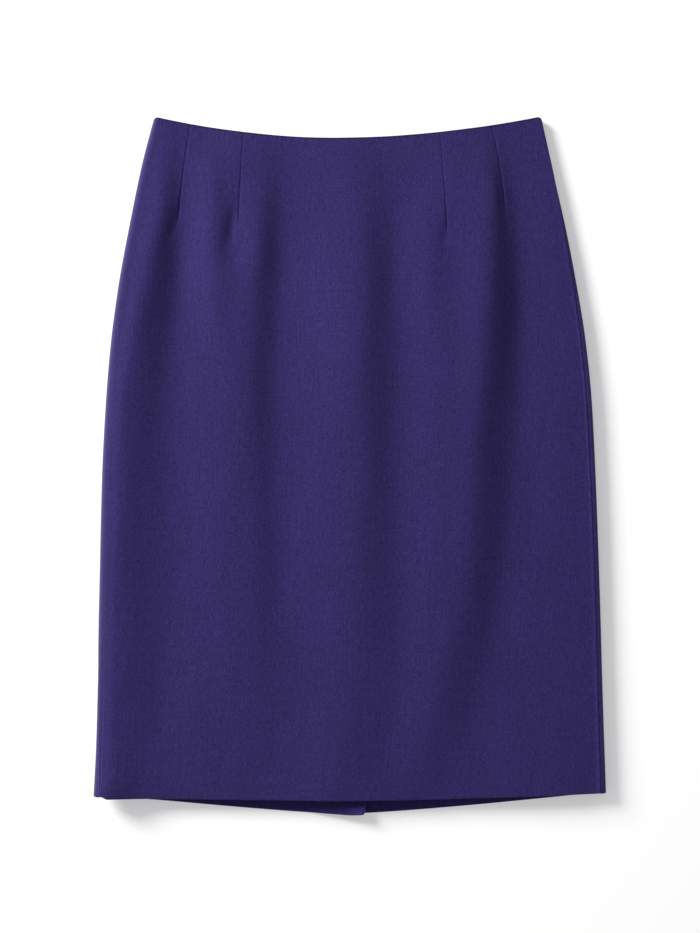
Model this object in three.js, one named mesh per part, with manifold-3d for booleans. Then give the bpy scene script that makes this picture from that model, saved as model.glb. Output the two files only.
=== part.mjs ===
// A pencil skirt laid flat on its back, front up, in millimetres.
// +X is to the right of the picture, +Y runs from the hem to the waist and +Z is up from the surface it lies on.
// The cloth is a flattened tube: a front panel with four darts, two back panels that meet at the centre back seam,
// a vent with its underlap at the hem, and a concealed zip at the top of the centre back seam.
import * as THREE from "three";
import { mergeVertices } from "three/addons/utils/BufferGeometryUtils.js";
import Module from "manifold-3d";

const wasm = await Module();
wasm.setup();

// Driving dimensions
const WAIST_Y = 330.7; // the waist's two corners
const SKIRT_LENGTH = 645; // from a waist corner to the hem, the length that the tables are spread over
const CLOTH = 1.5; // wall: suiting with its turned edges
const SEAM_GAP = 0.3; // between two panels
const FRONT_WAIST_DIP = 20.6; // how far the middle of the waist edge lies below its corners
const BACK_WAIST_DIP = 25.5;
const WAIST_DIP_X = -14; // where the waist edge is lowest
const WAIST_DIP_POWER = 1.9;
const HEM_HALF = 242;
const FRONT_HEM_DOWN = 647; // distances of the hem's middle below the waist's corners
const UNDERLAP_HEM_DOWN = 661.5;
const OVERLAP_HEM_DOWN = 659.3;
const HEM_RISE_LEFT = 1.7; // how much less that is at the sides
const HEM_RISE_RIGHT = 7.2;
const DART_GROOVE = 0.7; // depth of the line that a sewn dart draws in the cloth
const DART_GROOVE_HALF = 1.3;
const VENT_HEIGHT = 190;
const VENT_GAPE = 4; // the overlap swings this far aside at the hem
const UNDERLAP_WIDTH = 27; // past the centre back
const UNDERLAP_LIFT = 1.85; // height of its underside where it lies on the overlap
const UNDERLAP_CURL = 5.6; // how far its free corner curls up at the hem
const ZIP_LENGTH = 180;
const ZIP_BULGE = 3.6; // the back is lifted this far over the slider and its pull
const LIPS_PARTED = 1.1; // half the gap that the slider's neck holds open in the seam
const PULL_LENGTH = 22;

// The skirt's outline and the roll of its two sides, by level.
// down: distance below the waist's corners. left, right: the outline. roll: outer radius of the side's roll.
// seamLeft, seamRight: where the side seam lies round the roll, in degrees above the outline.
const OUTLINE = [
  { down: 0, left: -186.4, right: 180.9, roll: 5, seamLeft: -15, seamRight: 20 },
  { down: 41, left: -197, right: 189.9, roll: 5.2, seamLeft: -15, seamRight: 34 },
  { down: 98, left: -208.7, right: 202.7, roll: 5.6, seamLeft: -15, seamRight: 49 },
  { down: 155, left: -219.1, right: 213.6, roll: 6, seamLeft: -15, seamRight: 54 },
  { down: 212, left: -226.7, right: 222.6, roll: 6.2, seamLeft: -15, seamRight: 62 },
  { down: 269, left: -231.4, right: 228.3, roll: 6.5, seamLeft: -15, seamRight: 71 },
  { down: 345, left: -235.2, right: 232.1, roll: 6.5, seamLeft: -15, seamRight: 78 },
  { down: 459, left: -237.7, right: 236.1, roll: 6.5, seamLeft: -5, seamRight: 70 },
  { down: 553, left: -239.6, right: 238.7, roll: 6.5, seamLeft: 38, seamRight: 62 },
  { down: 645, left: -242, right: 241.8, roll: 6.5, seamLeft: 80, seamRight: 79 },
];

// The folds of the front, left to right: each is a ridge or a trough that runs from waist to hem.
// x is where it lies at each of the levels, and rise how high it stands there above the side rolls.
const FOLD_LEVELS = [0, 70, 165, 270, 400, 550, 645];
const FOLDS = [
  { name: "left ridge", x: [-172, -181, -200, -212, -216, -218, -221], rise: [0, 2.5, 4.2, 3.5, 3, 2.2, 1.2] },
  { name: "left trough", x: [-150, -163, -163, -171, -175, -188, -200], rise: [0, -1, -4, -4.3, -3.5, -1.8, 0] },
  { name: "left swell", x: [-104, -109, -104, -101, -107, -109, -118], rise: [1.2, 6, 6.5, 3.8, 2.5, 0.6, 0] },
  { name: "inner left trough", x: [-57, -57, -55, -66, -70, -71, -71], rise: [1, 1.5, -1, -2.5, -2, -1, -0.6] },
  { name: "middle ridge", x: [-10, 5, 9, 8, 8, 0, -14], rise: [1.8, 8.5, 12, 10.5, 7, 3, 0.8] },
  { name: "inner right trough", x: [42, 58, 60, 54, 52, 44, 32], rise: [1.2, 3.5, 4, 3, 2, 0, -0.3] },
  { name: "right ridge", x: [99, 120, 129, 117, 105, 80, 58], rise: [1.2, 8, 12.5, 12, 8.5, 3.5, 0.8] },
  { name: "right trough", x: [131, 158, 170, 166, 148, 127, 99], rise: [0.6, 0, -1.5, -1, -1, -2, 0] },
  { name: "right flat", x: [155, 184, 194, 200, 198, 198, 198], rise: [0, 0, 0, 0, 0, 0, 0.3] },
];

// The front darts: from the waist edge to the tip with a slight bow, and where the grid's line runs on below the tip.
const LINE_LEVELS = [165, 270, 400, 550, 645];
const DARTS = [
  { name: "left outer", topX: -150.3, tipX: -163.8, tipDown: 98, bow: -1.5, below: [-179, -189, -196, -203.5, -211] },
  { name: "left inner", topX: -100.2, tipX: -106.5, tipDown: 100, bow: -0.5, below: [-108, -104, -108, -112, -116] },
  { name: "right inner", topX: 82.8, tipX: 90.6, tipDown: 107, bow: 0.8, below: [90.5, 86, 79, 62, 47] },
  { name: "right outer", topX: 131.2, tipX: 145.3, tipDown: 84, bow: 1.3, below: [147, 142, 128, 103.5, 80] },
];
const DIMPLES = [
  { name: "left inner tip", x: -108.5, down: 112, depth: 2.2, halfWidth: 8, halfLength: 26 },
  { name: "right inner tip", x: 88, down: 120, depth: 1.5, halfWidth: 8, halfLength: 26 },
];

// The centre back seam, and on down along the vent.
const CENTRE_BACK = [
  { down: 0, x: -2 },
  { down: 470, x: -8 },
  { down: 661, x: -13 },
];

const unit = (t) => Math.min(1, Math.max(0, t));
const smooth = (t) => unit(t) ** 2 * (3 - 2 * unit(t));
const mix = (a, b, t) => a + (b - a) * t;
const radians = THREE.MathUtils.degToRad;
const degrees = THREE.MathUtils.radToDeg;

// A smooth curve through points that never overshoots them (a monotone cubic).
function curveThrough(xs, ys) {
  const last = xs.length - 1;
  const secant = xs.slice(1).map((x, i) => (ys[i + 1] - ys[i]) / (x - xs[i]));
  const slope = ys.map((_, i) => {
    if (i === 0) return secant[0];
    if (i === last) return secant[last - 1];
    const product = secant[i - 1] * secant[i];
    return product <= 0 ? 0 : (2 * product) / (secant[i - 1] + secant[i]);
  });
  return (x) => {
    const at = Math.min(xs[last], Math.max(xs[0], x));
    let i = 0;
    while (i < last - 1 && at > xs[i + 1]) i += 1;
    const width = xs[i + 1] - xs[i];
    const t = (at - xs[i]) / width;
    const bend = width * t * (1 - t) * ((1 - t) * slope[i] - t * slope[i + 1]);
    return mix(ys[i], ys[i + 1], smooth(t)) + bend;
  };
}
const columnOf = (table, name) =>
  curveThrough(
    table.map((row) => row.down),
    table.map((row) => row[name]),
  );
const leftAt = columnOf(OUTLINE, "left");
const rightAt = columnOf(OUTLINE, "right");
const rollAt = columnOf(OUTLINE, "roll");
const seamLeftAt = columnOf(OUTLINE, "seamLeft");
const seamRightAt = columnOf(OUTLINE, "seamRight");
const centreBackAt = columnOf(CENTRE_BACK, "x");
const foldCurves = FOLDS.map((fold) => ({
  x: curveThrough(FOLD_LEVELS, fold.x),
  rise: curveThrough(FOLD_LEVELS, fold.rise),
}));

// The waist and hem edges, as distances below the waist's corners.
function waistDown(x, dip) {
  const half = x < WAIST_DIP_X ? WAIST_DIP_X - leftAt(0) : rightAt(0) - WAIST_DIP_X;
  return dip * (1 - unit(Math.abs(x - WAIST_DIP_X) / half) ** WAIST_DIP_POWER);
}
function frontHemDown(x) {
  const rise = x < 0 ? HEM_RISE_LEFT : HEM_RISE_RIGHT;
  return FRONT_HEM_DOWN - rise * unit(Math.abs(x) / HEM_HALF) ** 1.5;
}
function backHemDown(x, side) {
  const middle = side < 0 ? UNDERLAP_HEM_DOWN : OVERLAP_HEM_DOWN;
  return mix(middle, frontHemDown(side * HEM_HALF), unit(Math.abs(x) / HEM_HALF) ** 1.25);
}
const frontDown = (x, share) => mix(waistDown(x, FRONT_WAIST_DIP), frontHemDown(x), share);
const backDown = (x, share, side) => mix(waistDown(x, BACK_WAIST_DIP), backHemDown(x, side), share);

// Height of the front's outer surface: smooth across the ridges and troughs, less the dimples at the dart tips.
function frontHeight(x, down) {
  const roll = rollAt(down);
  const left = leftAt(down);
  const right = rightAt(down);
  const xs = [left, left + roll, ...foldCurves.map((fold) => fold.x(down)), right - roll, right];
  const rises = [0, 0, ...foldCurves.map((fold) => fold.rise(down)), 0, 0];
  const dimples = DIMPLES.map((dimple) => {
    const across = (x - dimple.x) / dimple.halfWidth;
    const along = (down - dimple.down) / dimple.halfLength;
    return dimple.depth * Math.exp(-across * across - along * along);
  });
  return 2 * roll + curveThrough(xs, rises)(x) - dimples.reduce((sum, depth) => sum + depth, 0);
}

// The back is flat on the surface but for the bulge over the zip's pull and the lift of the vent's underlap.
const SLIDER_DOWN = BACK_WAIST_DIP + 9;
const VENT_DOWN = OVERLAP_HEM_DOWN - VENT_HEIGHT;
const ventShare = (down) => unit((down - VENT_DOWN) / VENT_HEIGHT);
const overlapEdge = (down) => centreBackAt(down) - VENT_GAPE * ventShare(down) ** 2;
const underlapEdge = (down) => centreBackAt(down) + UNDERLAP_WIDTH * unit((down - VENT_DOWN) / UNDERLAP_WIDTH);
const lipGap = (down) => mix(LIPS_PARTED, SEAM_GAP / 2, smooth((down - SLIDER_DOWN - 4) / 12));
function zipBulge(x, down) {
  const across = (x - centreBackAt(down)) / 17;
  const along = (down - SLIDER_DOWN - 9) / 30;
  return ZIP_BULGE * Math.exp(-across * across - along ** 4);
}
function underlapLift(x, down) {
  const beside = smooth((x - overlapEdge(down) + 24) / 20);
  const along = smooth((down - VENT_DOWN + 26) / 20);
  const corner = Math.hypot(x - underlapEdge(down), 1.4 * (UNDERLAP_HEM_DOWN - down));
  return UNDERLAP_LIFT * beside * along + UNDERLAP_CURL * unit(1 - corner / 46) ** 2;
}
const backHeight = (x, down, side) => zipBulge(x, down) + (side < 0 ? underlapLift(x, down) : 0);

// A point of a surface given by its height, with the direction its outside faces.
function pointOn(height, x, down, facing) {
  const step = 0.5;
  const slopeX = (height(x + step, down) - height(x - step, down)) / (2 * step);
  const slopeY = (height(x, down - step) - height(x, down + step)) / (2 * step);
  const normal = new THREE.Vector3(-slopeX, -slopeY, 1).normalize().multiplyScalar(facing);
  return { at: new THREE.Vector3(x, WAIST_Y - down, height(x, down)), normal };
}
// A point of a side's roll, at an angle above the outline.
function pointOnRoll(side, angle, share, downOf) {
  const level = share * SKIRT_LENGTH;
  const roll = rollAt(level);
  const outlineX = side < 0 ? leftAt(level) : rightAt(level);
  const normal = new THREE.Vector3(side * Math.cos(radians(angle)), 0, Math.sin(radians(angle)));
  const x = outlineX - side * roll + roll * normal.x;
  return { at: new THREE.Vector3(x, WAIST_Y - downOf(x, share), roll + roll * normal.z), normal };
}

// Rows run from waist to hem. Both the front and the back have the same ones, closer together near the waist
// and with some more at the top of the vent.
const ROWS = 25;
const VENT_ROWS = [-27, -17, -6, 1, 14, 27];
const shareOfBackDown = (down) => (down - BACK_WAIST_DIP) / (OVERLAP_HEM_DOWN - BACK_WAIST_DIP);
const SHARES = [
  ...Array.from({ length: ROWS + 1 }, (_, j) => mix(j / ROWS, (j / ROWS) ** 1.25, 0.8)).filter(
    (share) => Math.abs(share - shareOfBackDown(VENT_DOWN)) > 0.06,
  ),
  ...VENT_ROWS.map((beyond) => shareOfBackDown(VENT_DOWN + beyond)),
].sort((a, b) => a - b);

// Half the seam's gap as an angle round the roll.
const gapAngle = (level) => degrees(SEAM_GAP / 2 / rollAt(level));

// The line of the grid that follows a dart, and the fold below it.
const dartLines = DARTS.map((dart) => {
  const below = curveThrough([dart.tipDown, ...LINE_LEVELS], [dart.tipX, ...dart.below]);
  return (down) => {
    const t = down / dart.tipDown;
    return t > 1 ? below(down) : mix(dart.topX, dart.tipX, t) + 4 * dart.bow * t * (1 - t);
  };
});

// One row of the front, from the left side seam to the right one.
const ROLL_STEPS = 4;
const BANDS = [4, 6, 14, 5, 6]; // columns between the left roll, the four darts and the right roll
function frontRow(share) {
  const level = share * SKIRT_LENGTH;
  const roll = rollAt(level);
  const spread = mix(DART_GROOVE_HALF, 5, smooth((level - 105) / 60));
  const marks = dartLines.map((line, i) => {
    const down = frontDown(line(level), share);
    return { x: line(down), groove: DART_GROOVE * smooth((DARTS[i].tipDown - down) / 25) };
  });
  const over = (x) => pointOn(frontHeight, x, frontDown(x, share), 1);
  const row = [];
  const leftSeam = seamLeftAt(level) + gapAngle(level);
  for (let i = 0; i < ROLL_STEPS; i += 1) {
    row.push(pointOnRoll(-1, mix(leftSeam, 90, i / ROLL_STEPS), share, frontDown));
  }
  const stops = [leftAt(level) + roll, ...marks.map((mark) => mark.x), rightAt(level) - roll];
  BANDS.forEach((count, band) => {
    const start = stops[band] + (band > 0 ? spread : 0);
    const end = stops[band + 1] - (band < marks.length ? spread : 0);
    for (let i = 0; i <= count; i += 1) row.push(over(mix(start, end, i / count)));
    if (band < marks.length) row.push({ ...over(marks[band].x), groove: marks[band].groove });
  });
  const rightSeam = seamRightAt(level) + gapAngle(level);
  for (let i = 1; i <= ROLL_STEPS; i += 1) {
    row.push(pointOnRoll(1, mix(90, rightSeam, i / ROLL_STEPS), share, frontDown));
  }
  return row;
}

// One row of a back panel, with columns closer together at the centre back. Its points run from right to left,
// against the front's, so that its outside faces down.
const BACK_ROLL_STEPS = 6;
const FROM_CENTRE = [74, 40, 24, 18, 12, 8, 4, 2];
const PLAIN_STEPS = 4;
function backRow(share, side) {
  const level = share * SKIRT_LENGTH;
  const roll = rollAt(level);
  const seam = (side < 0 ? seamLeftAt(level) : seamRightAt(level)) - gapAngle(level);
  const downOf = (x) => backDown(x, share, side);
  const centreDown = downOf(centreBackAt(level));
  const edge = side < 0 ? underlapEdge(centreDown) : overlapEdge(centreDown);
  const outer = (side < 0 ? leftAt(level) : rightAt(level)) - side * roll;
  const over = (x) => pointOn((px, down) => backHeight(px, down, side), x, downOf(x), -1);
  const row = [];
  for (let i = 0; i < BACK_ROLL_STEPS; i += 1) {
    row.push(pointOnRoll(side, mix(seam, -90, i / BACK_ROLL_STEPS), share, downOf));
  }
  const anchor = overlapEdge(centreDown);
  for (let i = 0; i < PLAIN_STEPS; i += 1) {
    row.push(over(mix(outer, anchor + side * FROM_CENTRE[0], i / PLAIN_STEPS)));
  }
  FROM_CENTRE.forEach((away) => row.push(over(anchor + side * away)));
  if (side < 0) row.push(over(mix(anchor - 2, edge, 0.5)));
  row.push(over(edge + side * lipGap(centreDown)));
  return side < 0 ? row.reverse() : row;
}

// A closed wall between a grid of outer points and a grid of inner ones: rows run down, columns round the skirt.
function wallBetween(outer, inner) {
  const rows = outer.length;
  const columns = outer[0].length;
  const positions = [...outer.flat(), ...inner.flat()].flatMap((p) => [p.x, p.y, p.z]);
  const index = [];
  const outside = (j, i) => j * columns + i;
  const inside = (j, i) => (rows + j) * columns + i;
  const quad = (a, b, c, d) => index.push(a, b, c, a, c, d);
  for (let j = 0; j < rows - 1; j += 1) {
    for (let i = 0; i < columns - 1; i += 1) {
      quad(outside(j, i), outside(j + 1, i), outside(j + 1, i + 1), outside(j, i + 1));
      quad(inside(j, i), inside(j, i + 1), inside(j + 1, i + 1), inside(j + 1, i));
    }
    const last = columns - 1;
    quad(outside(j, 0), inside(j, 0), inside(j + 1, 0), outside(j + 1, 0));
    quad(outside(j, last), outside(j + 1, last), inside(j + 1, last), inside(j, last));
  }
  for (let i = 0; i < columns - 1; i += 1) {
    const last = rows - 1;
    quad(outside(0, i), outside(0, i + 1), inside(0, i + 1), inside(0, i));
    quad(outside(last, i), inside(last, i), inside(last, i + 1), outside(last, i + 1));
  }
  const geometry = new THREE.BufferGeometry();
  geometry.setAttribute("position", new THREE.Float32BufferAttribute(positions, 3));
  geometry.setIndex(index);
  geometry.computeVertexNormals();
  return geometry;
}
// Cloth of even thickness inside a grid of points, with any groove pressed into its outer face.
function clothWall(grid) {
  const sunk = (depthOf) => grid.map((row) => row.map((p) => p.at.clone().addScaledVector(p.normal, -depthOf(p))));
  return wallBetween(
    sunk((p) => p.groove ?? 0),
    sunk(() => CLOTH),
  );
}
const frontPanel = () => clothWall(SHARES.map(frontRow));
const backPanel = (side) => clothWall(SHARES.map((share) => backRow(share, side)));

// The concealed zip's coil and tapes, as one closed strip that lies on the inside of the back, from its points moved in.
const CHAIN_SECTION = [
  { across: -13, height: 0.6 },
  { across: -2.4, height: 0.6 },
  { across: -1.7, height: 1.9 },
  { across: 1.7, height: 1.9 },
  { across: 2.4, height: 0.6 },
  { across: 13, height: 0.6 },
];
const CHAIN_STEPS = 24;
const CHAIN_CLEAR = CLOTH + SEAM_GAP + 0.15;
const SLIDER_HALF = 6;
function zipChain() {
  const start = SLIDER_DOWN + SLIDER_HALF + SEAM_GAP;
  const downs = Array.from({ length: CHAIN_STEPS + 1 }, (_, j) => start + (ZIP_LENGTH * j) / CHAIN_STEPS);
  const lying = (down, across, height) => {
    const x = centreBackAt(down) + across;
    return new THREE.Vector3(x, WAIST_Y - down, zipBulge(x, down) + CHAIN_CLEAR + height);
  };
  const upper = downs.map((down) => CHAIN_SECTION.map((point) => lying(down, point.across, point.height)));
  const under = downs.map((down) => CHAIN_SECTION.map((point) => lying(down, point.across, 0)));
  return wallBetween(upper, under);
}

// A closed geometry as a solid that can be joined, and back.
function solidOf(geometry) {
  const bare = geometry.clone();
  bare.deleteAttribute("normal");
  bare.deleteAttribute("uv");
  const merged = mergeVertices(bare, 1e-4);
  const vertProperties = new Float32Array(merged.attributes.position.array);
  const triVerts = new Uint32Array(merged.index.array);
  return new wasm.Manifold(new wasm.Mesh({ numProp: 3, vertProperties, triVerts }));
}
function geometryOf(solid) {
  const mesh = solid.getMesh();
  const geometry = new THREE.BufferGeometry();
  geometry.setAttribute("position", new THREE.BufferAttribute(mesh.vertProperties, 3));
  geometry.setIndex(new THREE.BufferAttribute(mesh.triVerts, 1));
  geometry.computeVertexNormals();
  return geometry;
}

// The slider: a body inside the back, and a neck through the seam with an eye outside it that holds the pull's bar.
const BAR_HEIGHT = 1.5;
const BAR_HALF = 0.4;
const EYE_INNER = 0.9;
const EYE_OUTER = 1.42;
const NECK_WIDTH = 1.6;
const BODY = { width: 7, height: 2.1, bottom: ZIP_BULGE + CLOTH + SEAM_GAP };
function zipSlider() {
  const body = new THREE.BoxGeometry(BODY.width, 2 * SLIDER_HALF, BODY.height);
  body.translate(0, 0, BODY.bottom + BODY.height / 2);
  // Drawn with the height along the shape's y, then stood up across the slider.
  const neck = new THREE.Shape();
  neck.moveTo(-EYE_OUTER, BODY.bottom + 0.5);
  neck.lineTo(-EYE_OUTER, BAR_HEIGHT);
  neck.absarc(0, BAR_HEIGHT, EYE_OUTER, Math.PI, 2 * Math.PI, false);
  neck.lineTo(EYE_OUTER, BODY.bottom + 0.5);
  const hole = new THREE.Path();
  hole.absarc(0, BAR_HEIGHT, EYE_INNER, 0, 2 * Math.PI, true);
  neck.holes.push(hole);
  const plate = new THREE.ExtrudeGeometry(neck, { depth: NECK_WIDTH, bevelEnabled: false, curveSegments: 12 });
  plate.translate(0, 0, -NECK_WIDTH / 2);
  plate.rotateX(Math.PI / 2);
  plate.rotateZ(Math.PI / 2);
  return geometryOf(solidOf(body).add(solidOf(plate)));
}
// The pull: a flat drop-shaped tab with a window near its upper end, whose top bar turns in the slider's eye.
const TAB = { halfTop: 2.6, halfEnd: 1.9, windowHalf: 1.5, windowLength: 4.6 };
function zipPull() {
  const outline = new THREE.Shape();
  outline.moveTo(TAB.halfTop, BAR_HALF);
  outline.lineTo(-TAB.halfTop, BAR_HALF);
  outline.lineTo(-TAB.halfEnd, -PULL_LENGTH + TAB.halfEnd);
  outline.absarc(0, -PULL_LENGTH + TAB.halfEnd, TAB.halfEnd, Math.PI, 2 * Math.PI, false);
  const window = new THREE.Path();
  window.moveTo(-TAB.windowHalf, -BAR_HALF);
  window.lineTo(TAB.windowHalf, -BAR_HALF);
  window.lineTo(TAB.windowHalf, -TAB.windowLength);
  window.lineTo(-TAB.windowHalf, -TAB.windowLength);
  outline.holes.push(window);
  const tab = new THREE.ExtrudeGeometry(outline, { depth: 2 * BAR_HALF, bevelEnabled: false, curveSegments: 12 });
  return tab.translate(0, 0, -BAR_HALF);
}

const cloth = new THREE.MeshStandardMaterial({ name: "wool_suiting", color: "#332b5e", roughness: 0.92, metalness: 0 });
const tape = new THREE.MeshStandardMaterial({ name: "zip_tape", color: "#2c2552", roughness: 0.7, metalness: 0 });
const enamel = new THREE.MeshStandardMaterial({ name: "zip_enamel", color: "#3a3068", roughness: 0.4, metalness: 0.2 });

const skirt = new THREE.Group();
function add(name, geometry, material) {
  const mesh = new THREE.Mesh(geometry, material);
  mesh.name = name;
  skirt.add(mesh);
  return mesh;
}
add("front_panel", frontPanel(), cloth);
add("back_panel_left", backPanel(1), cloth);
add("back_panel_right", backPanel(-1), cloth);
add("zip_chain", zipChain(), tape);
const sliderX = centreBackAt(SLIDER_DOWN);
const sliderY = WAIST_Y - SLIDER_DOWN;
add("zip_slider", zipSlider(), enamel).position.set(sliderX, sliderY, 0);
const pull = add("zip_pull", zipPull(), enamel);
pull.position.set(sliderX, sliderY, BAR_HEIGHT);
// The tab slopes from the slider's eye down to the surface that the skirt lies on.
pull.rotation.x = Math.asin((BAR_HEIGHT - BAR_HALF - 0.05) / PULL_LENGTH);

export default skirt;
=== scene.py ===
# %% [markdown]
# # A pencil skirt, laid flat with its front up
#
# The real skirt is a tube of fine wool suiting: a front panel with four darts, and two back panels that
# meet in a seam, with a concealed zip at the top and a vent at the hem. It lies on a pale surface, so the
# tube is flattened, with a little air between front and back. A cloth simulation could lay it down, but its
# folds would fall in other places than the real ones, so here every fold is worked out from a formula.
#
# Lengths are in millimetres until a mesh is made, and a mesh is in metres. The frame is the CAD's: +X to
# the right of the picture, +Y towards the waist and +Z up from the surface. "Down" is the way from the
# waist's corners towards the hem.

import bpy
import numpy as np
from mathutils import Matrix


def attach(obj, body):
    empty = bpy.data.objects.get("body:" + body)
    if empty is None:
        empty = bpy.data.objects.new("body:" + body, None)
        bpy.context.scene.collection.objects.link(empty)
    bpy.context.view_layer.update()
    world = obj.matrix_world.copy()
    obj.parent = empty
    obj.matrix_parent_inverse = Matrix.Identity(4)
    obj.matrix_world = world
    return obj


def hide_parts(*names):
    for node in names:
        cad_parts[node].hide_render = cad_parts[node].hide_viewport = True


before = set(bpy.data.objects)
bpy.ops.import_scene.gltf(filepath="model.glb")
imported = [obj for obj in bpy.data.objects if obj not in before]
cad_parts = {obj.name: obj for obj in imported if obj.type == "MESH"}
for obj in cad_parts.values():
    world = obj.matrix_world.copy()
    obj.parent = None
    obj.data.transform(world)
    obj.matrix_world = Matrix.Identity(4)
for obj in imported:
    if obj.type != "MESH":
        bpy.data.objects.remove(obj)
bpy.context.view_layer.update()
MM = 0.001  # metres

# %% [markdown]
# ## Smooth curves
#
# A side seam, a hem and a ridge of cloth are long, calm lines, and a few knots say where each one runs.
# Blender's own curve objects could draw them, but the shapes below ask where a line is at thousands of
# places at once. So a curve is a formula here, which numpy works out for a whole array.

# %% Curves
def curve_through(xs, ys, x):
    """Read a smooth curve through knots, which never overshoots them.

    Between two knots the curve is a cubic. Its slope at a knot is the harmonic mean of the slopes on both
    sides, or zero where these have opposite signs, so a ridge stays where the table puts it. Knots run along
    the last axis, and there may be other knots for each place in x.
    """
    xs, ys = np.broadcast_arrays(np.asarray(xs, float), np.asarray(ys, float))
    x = np.asarray(x, float)
    secant = np.diff(ys) / np.diff(xs)
    product = secant[..., :-1] * secant[..., 1:]
    total = np.where(product > 0, secant[..., :-1] + secant[..., 1:], 1.0)
    middle = np.where(product > 0, 2 * product / total, 0.0)
    slope = np.concatenate([secant[..., :1], middle, secant[..., -1:]], axis=-1)
    x = np.clip(x, xs[..., 0], xs[..., -1])
    at = (x[..., None] >= xs[..., 1:-1]).sum(axis=-1)[..., None]

    def pick(values):
        wide = np.broadcast_to(values, x.shape + values.shape[-1:])
        return np.take_along_axis(wide, at, axis=-1)[..., 0]

    x0, x1 = pick(xs[..., :-1]), pick(xs[..., 1:])
    y0, y1 = pick(ys[..., :-1]), pick(ys[..., 1:])
    m0, m1 = pick(slope[..., :-1]), pick(slope[..., 1:])
    width = x1 - x0
    t = (x - x0) / width
    return y0 + (y1 - y0) * t * t * (3 - 2 * t) + width * t * (1 - t) * ((1 - t) * m0 - t * m1)


def smooth(t):
    """Go from 0 to 1 with no slope at both ends."""
    t = np.clip(t, 0.0, 1.0)
    return t * t * (3 - 2 * t)


def mix(a, b, t):
    """Go from a to b by the share t."""
    return a + (b - a) * t


print("half way between 2 and 6 is", mix(2, 6, smooth(0.5)))

# %% [markdown]
# ## The outline
#
# A pencil skirt widens from the waist to the hip, and runs nearly straight from there to the hem. Laid
# flat, the cloth doesn't end at the outline: it turns round it, from the front to the back, in a roll of
# about 6 mm radius, and the side seam lies somewhere round that roll. A traced outline could be extruded,
# but the rolls, the seams and the folds all start from it, so the outline is a table of levels. It follows
# the CAD's, so that the cloth lies where the solids are.

# %% Outline
WAIST_Y = 330.7
SKIRT_LENGTH = 645.0
HEM_HALF = 242.0

# Outline and side rolls by level: distance down, left and right outline, radius of the roll, and where the
# side seams lie round it, in degrees above the outline.
OUTLINE_COLUMNS = ("down", "left", "right", "roll", "seam_left", "seam_right")
OUTLINE = (
    (0, -186.4, 180.9, 5.0, -15, 20),
    (41, -197.0, 189.9, 5.2, -15, 34),
    (98, -208.7, 202.7, 5.6, -15, 58),
    (155, -219.1, 213.6, 6.0, -15, 68),
    (212, -226.7, 222.6, 6.2, -15, 79),
    (269, -231.4, 228.3, 6.5, -15, 81),
    (345, -235.2, 232.1, 6.5, -15, 79),
    (459, -237.7, 236.1, 6.5, -5, 75),
    (553, -239.6, 238.7, 6.5, 38, 75),
    (645, -242.0, 241.8, 6.5, 80, 81),
)
HIP = dict(zip(OUTLINE_COLUMNS, OUTLINE[5]))


def outline(column, down):
    """Read one column of the outline table at a level."""
    i = OUTLINE_COLUMNS.index(column)
    return curve_through([row[0] for row in OUTLINE], [row[i] for row in OUTLINE], down)


print("widest level:", max(row[2] - row[1] for row in OUTLINE), "mm")

# %% [markdown]
# ## Waist and hem
#
# The waist's edge dips in the middle, because the body's waist is a ring and the skirt is cut to follow it.
# The hem rises a little at the sides, and its left corner has curled off the surface. Both edges could be
# cut with a knife tool, but that leaves thin triangles along them. Here the rows of each panel run from one
# edge to the other, so the first row is the waist and the last is the hem.

# %% Waist edge
FRONT_WAIST_DIP = 20.6
BACK_WAIST_DIP = 25.5
WAIST_DIP_X = -14.0
WAIST_DIP_POWER = 1.9
WAIST_CORNER = 4.0  # the corners are turned over this length
WAIST_CORNER_DROP = 2.2


def waist_down(x, dip):
    """The waist edge dips between its corners as a power of the distance from its lowest point."""
    left, right = OUTLINE[0][1], OUTLINE[0][2]
    half = np.where(x < WAIST_DIP_X, WAIST_DIP_X - left, right - WAIST_DIP_X)
    at_right = np.clip(1 - (right - x) / WAIST_CORNER, 0, 1) ** 2
    at_left = np.clip(1 - (x - left) / WAIST_CORNER, 0, 1) ** 2
    dipped = dip * (1 - np.clip(np.abs(x - WAIST_DIP_X) / half, 0, 1) ** WAIST_DIP_POWER)
    return dipped + WAIST_CORNER_DROP * (at_right + at_left)


print("front waist dips to", round(float(waist_down(WAIST_DIP_X, FRONT_WAIST_DIP)), 1), "mm down")

# %% Hem edges
FRONT_HEM_DOWN = 647.0
FRONT_HEM_POWER = 1.5
HEM_RISE_LEFT = 3.0
HEM_RISE_RIGHT = 7.2
HEM_NOTCH = 2.3  # the hem steps up at the left side seam
HEM_NOTCH_X = 228.5
HEM_NOTCH_RUN = 6.0
UNDERLAP_HEM_DOWN = 661.5
OVERLAP_HEM_DOWN = 660.8
BACK_HEM_POWER = 1.25


def front_hem_down(x):
    """The front's hem rises towards the sides, as a power of the distance from the middle."""
    rise = np.where(x < 0, HEM_RISE_LEFT, HEM_RISE_RIGHT)
    notch = HEM_NOTCH * smooth((-HEM_NOTCH_X - x) / HEM_NOTCH_RUN)
    return FRONT_HEM_DOWN - rise * np.clip(np.abs(x) / HEM_HALF, 0, 1) ** FRONT_HEM_POWER - notch


def back_hem_down(x, side):
    """The back's hem goes from its own depth at the vent to the front's at the side seam."""
    middle = UNDERLAP_HEM_DOWN if side < 0 else OVERLAP_HEM_DOWN
    return mix(middle, front_hem_down(side * HEM_HALF), np.clip(np.abs(x) / HEM_HALF, 0, 1) ** BACK_HEM_POWER)


print("the front hem rises to", round(float(front_hem_down(HEM_HALF)), 1), "mm down on the right")

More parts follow.
